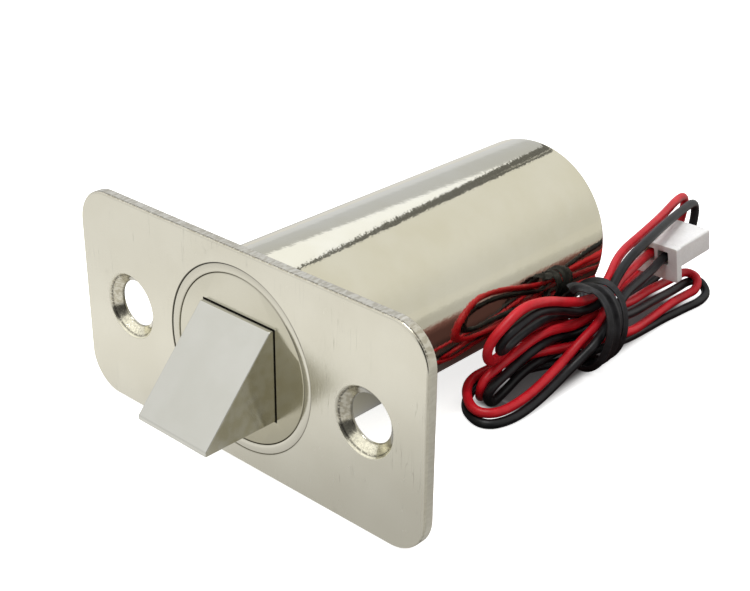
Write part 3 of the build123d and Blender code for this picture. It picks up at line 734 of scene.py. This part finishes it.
strap_plastic = Look(bpy.data.materials.new("tie_strap_plastic"))
cloud = strap_plastic.noise(0.8)
skin = strap_plastic.noise(14.0, detail=2.0)
black_plastic = strap_plastic.blend(cloud.rise(0.3, 0.7), (0.008, 0.008, 0.009), (0.020, 0.0205, 0.023))
strap_plastic.finish(black_plastic, 0.38 + skin * 0.2, 0.0, skin * 0.8 + cloud, 0.03,
                     **{"Specular IOR Level": 0.34})
bm = bmesh.new()
face = bm.faces.new([bm.verts.new((across, up, 0)) for across, up in strap_section])
tie_here = strap_frame(tie_start)
bmesh.ops.transform(bm, matrix=tie_here, verts=bm.verts)
for k in range(1, int((tie_turns - tie_start) * tie_steps_a_turn)):
    tie_next = strap_frame(tie_start + k / tie_steps_a_turn)
    drawn = bmesh.ops.extrude_face_region(bm, geom=[face])["geom"]
    if k > 1:
        bmesh.ops.delete(bm, geom=[face], context="FACES_ONLY")
    face = next(part for part in drawn if isinstance(part, bmesh.types.BMFace))
    bmesh.ops.transform(bm, matrix=tie_next @ tie_here.inverted(), verts=face.verts)
    tie_here = tie_next
tie = make_piece("tie", bm, "housing", strap_plastic, ["wire_tie"], sharp=50)

# The plug is a two-way housing moulded in natural nylon, with a taller flange round its wire side.
# A crimped, tin-plated terminal on each wire snaps into its cavity.
plug_half_width = 3.5
plug_height = 3.4
plug_length = 8.2
flange_length = 1.1
flange_height = 5.4
flange_step = 0.3
pin_side = 1.25
pin_height = -1.9
cavity_half_width = 0.95
cavity_half_height = 1.05
cavity_end = 7.3
contact_half = 0.55
plug_along = Vector((0.095, 0.989, 0.117)).normalized()
plug_tilt = Vector((-0.993, 0.103, -0.066))
plug_across = (plug_tilt - plug_along * plug_tilt.dot(plug_along)).normalized()
plug_front = Vector((13.14, 67.71, -3.27))
nylon = Look(bpy.data.materials.new("natural_nylon"))
cloud = nylon.noise(0.4)
haze = nylon.noise(2.5)
skin = nylon.noise(12.0, detail=2.0)
milky = cloud.rise(0.3, 0.7) * 0.6 + haze.rise(0.35, 0.65) * 0.4
nylon.finish(nylon.blend(milky, (0.77, 0.765, 0.75), (0.86, 0.855, 0.845)),
             0.28 + skin * 0.12, 0.0, skin * 0.2 + haze * 0.6 + cloud * 2.5, 0.015,
             **{"Subsurface Weight": 0.30, "Subsurface Radius": (0.6, 0.6, 0.55), "Subsurface Scale": 0.0008})
bm = bmesh.new()
block(bm, (-plug_half_width - flange_step, plug_half_width + flange_step), (-flange_height, 0.04),
      (0.0, flange_length), 0.3, 0.12, 0.12, rim_steps=2)
block(bm, (-plug_half_width, plug_half_width), (-plug_height, 0.0), (flange_length, plug_length),
      0.35, 0.0, 0.30)
for side in (-pin_side, pin_side):
    block(bm, (side - cavity_half_width, side + cavity_half_width),
          (pin_height - cavity_half_height, pin_height + cavity_half_height), (0.0, cavity_end), 0.2)
    block(bm, (side - contact_half, side + contact_half),
          (pin_height - contact_half, pin_height + contact_half), (cavity_end, plug_length), 0.12)
for depth in (0.0, flange_length, cavity_end, plug_length):
    close_flat(bm, depth)
plug_place = Matrix((plug_across, plug_along, plug_along.cross(plug_across))).transposed().to_4x4()
plug_place.translation = plug_front
bm.transform(plug_place)
connector = make_piece("connector", bm, "housing", nylon, ["connector_housing"],
                       weighted=True)
dress(solder, "crimp_terminals")

# The lock rests on a sheet of white paper, on the plate's lower edge. The camera sees the paper
# plain white, with a painted dark red shadow only in the gaps between the wires. The metal mirrors it as a
# pale grey glow with painted light and shade:
# brighter to the front, with painted shade beside the barrel and a painted reddish reflection round the hank.
paper_depth = plate_half_height
paper_half_width = 3000.0
bm = bmesh.new()
bmesh.ops.create_grid(bm, x_segments=1, y_segments=1, size=paper_half_width / 1000)
bmesh.ops.translate(bm, verts=bm.verts, vec=(0, 0, -paper_depth / 1000))
mesh = bpy.data.meshes.new("paper_floor")
bm.to_mesh(mesh)
bm.free()
floor = bpy.data.objects.new("paper_floor", mesh)
scene.collection.objects.link(floor)
paper = Look(bpy.data.materials.new("white_paper"))
mesh.materials.append(paper.owner)
x, y, z = paper.split(paper.place())
# A painted dark red shadow on the paper under the hank and under one fold, seen by the camera; the glow is
# taken away there.
hank_shadow = (x + (y - 30.0) * 0.05).band(14.6, 2.4, 2.4) * y.band(52.0, 19.0, 6.0)
fold_shadow = (x - 13.5).band(0.0, 1.2, 2.6) * y.band(31.0, 0.8, 2.2)
hank_shadow = hank_shadow.most(fold_shadow) * 0.95
paper_and_shadow = paper.blend(hank_shadow, (0.86, 0.86, 0.85), (0.07, 0.04, 0.04))
paper.finish(paper_and_shadow, 0.9, **{"Specular IOR Level": 0.0})
seen_glow = paper.node("ShaderNodeEmission", None, {"Strength": (1.0 - hank_shadow) * 0.76})
seen = paper.node("ShaderNodeAddShader", None,
                  {0: paper.tree.nodes["Principled BSDF"].outputs[0], 1: seen_glow.outputs[0]})
# What other rays see is a glow with painted light and shade: brighter to the front, painted shade near the
# plate and beside the barrel, and a painted reddish reflection of the wires round the hank.
toward_camera = x * -0.6 - y * 0.8
far_off = (x * x + y * y).root().rise(90.0, 200.0)
brightness = 0.60 + 0.44 * toward_camera.rise(-10.0, 32.0) - 0.10 * toward_camera.rise(35.0, 60.0)
shaded = (1.0 - x.size().rise(30.0, 50.0)) * y.rise(2.0, 24.0) * (1.0 - y.rise(85.0, 115.0))
beside_barrel_shade = x.band(13.0, 6.0, 6.0) * y.band(50.0, 24.0, 10.0)
hank_shade_and_bounce = x.rise(0.0, 8.0) * (1.0 - x.rise(38.0, 50.0)) * y.rise(26.0, 36.0) * (1.0 - y.rise(90.0, 112.0))
brightness = brightness * (1.0 - shaded * 0.74) * (1.0 - beside_barrel_shade * 0.6) * (1.0 - hank_shade_and_bounce * 0.4)
brightness = brightness * (1.0 - far_off) + far_off * 0.84
painted_red_reflection = paper.blend(hank_shade_and_bounce, (1.0, 0.985, 0.955), (1.0, 0.45, 0.40))
mirrored = paper.node("ShaderNodeEmission", None, {"Color": painted_red_reflection, "Strength": brightness})
ray = paper.node("ShaderNodeLightPath")
either = paper.node("ShaderNodeMixShader", None,
                    {0: ray.outputs["Is Camera Ray"], 1: mirrored.outputs[0], 2: seen.outputs[0]})
paper.tree.links.new(either.outputs[0], paper.tree.nodes["Material Output"].inputs["Surface"])

# The studio is a white tent round the lock. A large soft box stands behind it on the left, a dark
# gap runs down beside it, and the opening for the camera in front is dark. The camera sees white.
studio = bpy.data.worlds.new("studio")
scene.world = studio
tent = Look(studio)
direction = tent.node("ShaderNodeTexCoord")
x, y, z = tent.split(direction.outputs["Generated"])
behind = y.rise(0.10, 0.30)
across = x / y.most(0.05)
height = z / y.most(0.05)
slant = across - 0.27 * (height - 1.0)
gap_left = -0.464 + (height - 0.9).most(0.0) * 0.35
past_gap_left = (slant - gap_left).rise(-0.007, 0.007)
past_gap_right = slant.rise(-0.292, -0.284)
gap = past_gap_left * (1.0 - past_gap_right) * height.rise(0.2, 0.4)
glint = slant.band(-0.343, 0.006, 0.008) * (1.0 - height.rise(0.76, 0.84))
left_wall = 1.0 - past_gap_left
box_edge = (height + 0.2 * across - 0.60).rise(-0.04, 0.04)
soft_box = left_wall * box_edge
low_wall = left_wall * (1.0 - box_edge) * height.rise(0.22, 0.34)
low_right = past_gap_right * (1.0 - z.rise(0.10, 0.60))
light_behind = (0.84 + soft_box * 0.52 - low_wall * 0.13 - gap * 0.66 + gap * glint * 0.5
                + past_gap_right * 0.11 - low_right * 0.14)
opening = x.rise(0.10, 0.26) * (1.0 - x.rise(0.80, 0.95)) * z.rise(-0.34, -0.16) * (1.0 - z.rise(0.50, 0.60))
upper_lamp = (1.0 - x.rise(-0.25, 0.15)) * z.rise(0.35, 0.52)
light_in_front = (0.80 + 0.16 * z.rise(-0.2, 0.9) + 0.16 * upper_lamp) * (1.0 - opening * 0.90)
light = behind * light_behind + (1.0 - behind) * light_in_front
tint = tent.blend(left_wall * behind, (1.0, 0.99, 0.97), (0.96, 0.98, 1.06))
tent_light = tent.node("ShaderNodeBackground", None, {"Color": tint, "Strength": light})
tent_seen = tent.node("ShaderNodeBackground", None, {"Color": (1.0, 1.0, 1.0, 1.0), "Strength": 1.0})
ray = tent.node("ShaderNodeLightPath")
either = tent.node("ShaderNodeMixShader", None,
                   {0: ray.outputs["Is Camera Ray"], 1: tent_light.outputs[0], 2: tent_seen.outputs[0]})
tent.tree.links.new(either.outputs[0], tent.tree.nodes["World Output"].inputs["Surface"])

# One round lamp above the camera gives the soft highlights on the wires and the tie.
lamp_place = Vector((0.02, -0.08, 0.36))
lamp_target = Vector((0.0, 0.03, 0.0))
lamp = bpy.data.objects.new("lamp", bpy.data.lights.new("lamp", "AREA"))
lamp.data.shape = "DISK"
lamp.data.size = 0.10
lamp.data.energy = 0.55
lamp_turn = (lamp_place - lamp_target).to_track_quat("Z", "Y").to_matrix().to_4x4()
lamp.matrix_world = Matrix.Translation(lamp_place) @ lamp_turn
scene.collection.objects.link(lamp)
